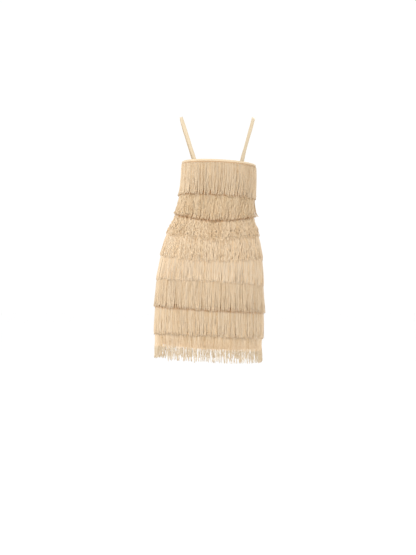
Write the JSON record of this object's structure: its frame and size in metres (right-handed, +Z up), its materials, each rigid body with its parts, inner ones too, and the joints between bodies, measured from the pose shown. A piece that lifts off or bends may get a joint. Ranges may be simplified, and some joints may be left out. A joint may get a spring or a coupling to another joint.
{
  "type": "fringed flapper dress",
  "caption": "Short sleeveless dress on narrow shoulder straps, its fitted underdress covered in overlapping rows of fringe, in its worn form with the hollow left empty.",
  "frame": {"origin": "midway between the two places where the straps bear on the shoulders", "axes": "+Z up, -Y to the front of the dress, +X to the side of its left strap"},
  "size_m": [0.383, 0.2787, 0.8448],
  "materials": {
    "underdress": "plain matt knit",
    "trim": "smooth soft-sheen tape",
    "fringe": "twisted soft-sheen yarn fringe"
  },
  "bodies": {
    "root": {"back_panel": "underdress", "front_panel": "underdress", "back_binding": "trim", "front_binding": "trim", "fringe_tier_1": "fringe", "fringe_tier_2": "fringe", "fringe_tier_3": "fringe", "fringe_tier_4": "fringe", "fringe_tier_5": "fringe", "fringe_tier_6": "fringe", "fringe_tier_7": "fringe", "fringe_hem": "fringe", "strap_left": "trim", "strap_right": "trim"}
  },
  "joints": []
}
